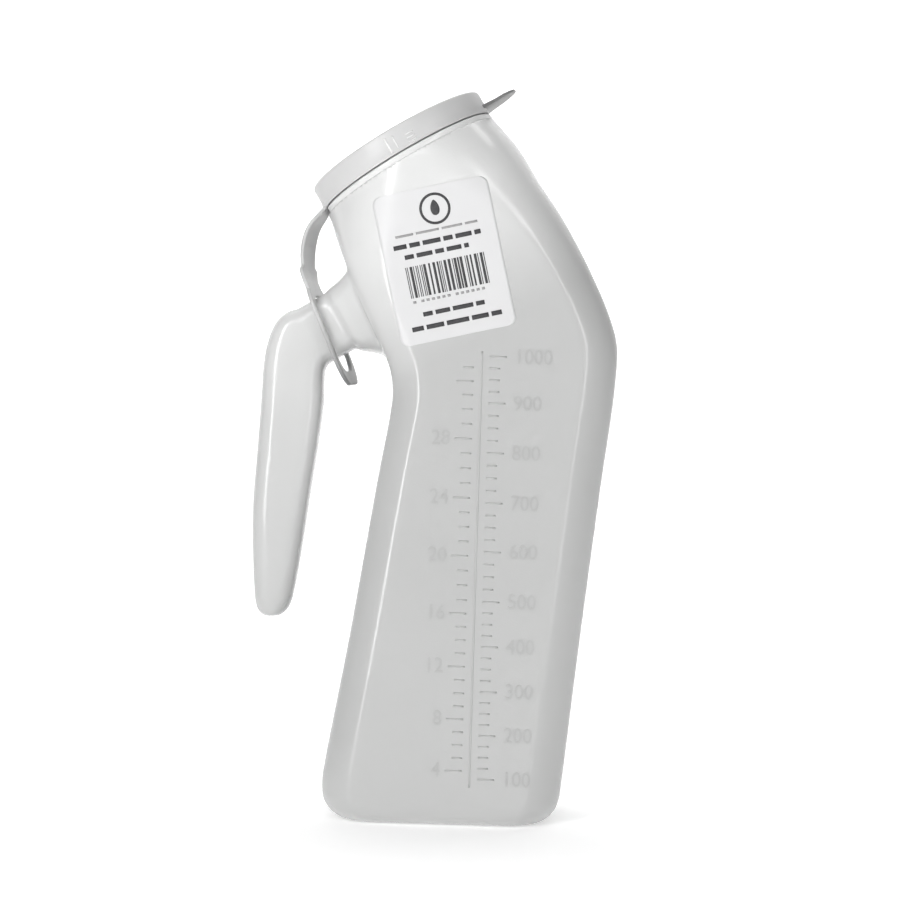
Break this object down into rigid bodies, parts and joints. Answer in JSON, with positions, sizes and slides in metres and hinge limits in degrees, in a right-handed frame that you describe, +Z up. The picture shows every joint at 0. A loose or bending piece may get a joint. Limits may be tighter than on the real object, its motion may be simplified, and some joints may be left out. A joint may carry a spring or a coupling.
{
  "type": "urine bottle",
  "caption": "Leaning flat-sided urine bottle with a tilted round neck, free-ended handle and a snap lid tethered to a ring on the handle.",
  "frame": {"origin": "centre of the flat resting face, on the plane it stands on", "axes": "+Z up, +X away from the handle, -Y the graduated front"},
  "size_m": [0.1418, 0.0765, 0.2895],
  "materials": {
    "bottle_plastic": "translucent natural polyethylene, satin",
    "lid_plastic": "soft translucent polyethylene, satin",
    "label_film": "white self-adhesive film with printed grey bars"
  },
  "bodies": {
    "bottle": {"bottle_body": "bottle_plastic", "neck_finish": "bottle_plastic", "handle_stem": "bottle_plastic", "handle_grip": "bottle_plastic", "tether_ring": "lid_plastic", "ring_pad": "lid_plastic", "ml_scale": "bottle_plastic", "oz_scale": "bottle_plastic", "scale_numerals": "bottle_plastic", "label": "label_film"},
    "strap": {"tether_strap": "lid_plastic", "strap_knuckle": "lid_plastic"},
    "lid": {"lid_cap": "lid_plastic", "lid_rim_ribs": "lid_plastic", "lid_tab": "lid_plastic", "lid_hinge_lug": "lid_plastic"}
  },
  "joints": [
    {"name": "strap_swing", "type": "hinge", "parent": "bottle", "child": "strap", "pos_m": [-0.0596, 0, 0.2156], "axis": [0, -1, 0], "range_deg": [0, 13.6]},
    {"name": "lid_hinge", "type": "hinge", "parent": "strap", "child": "lid", "pos_m": [-0.05309, 0, 0.23739], "axis": [0, -1, 0], "range_deg": [0, 68]}
  ],
  "couplings": [
    {"joint": "strap_swing", "follows": "lid_hinge", "ratio": 0.2}
  ]
}
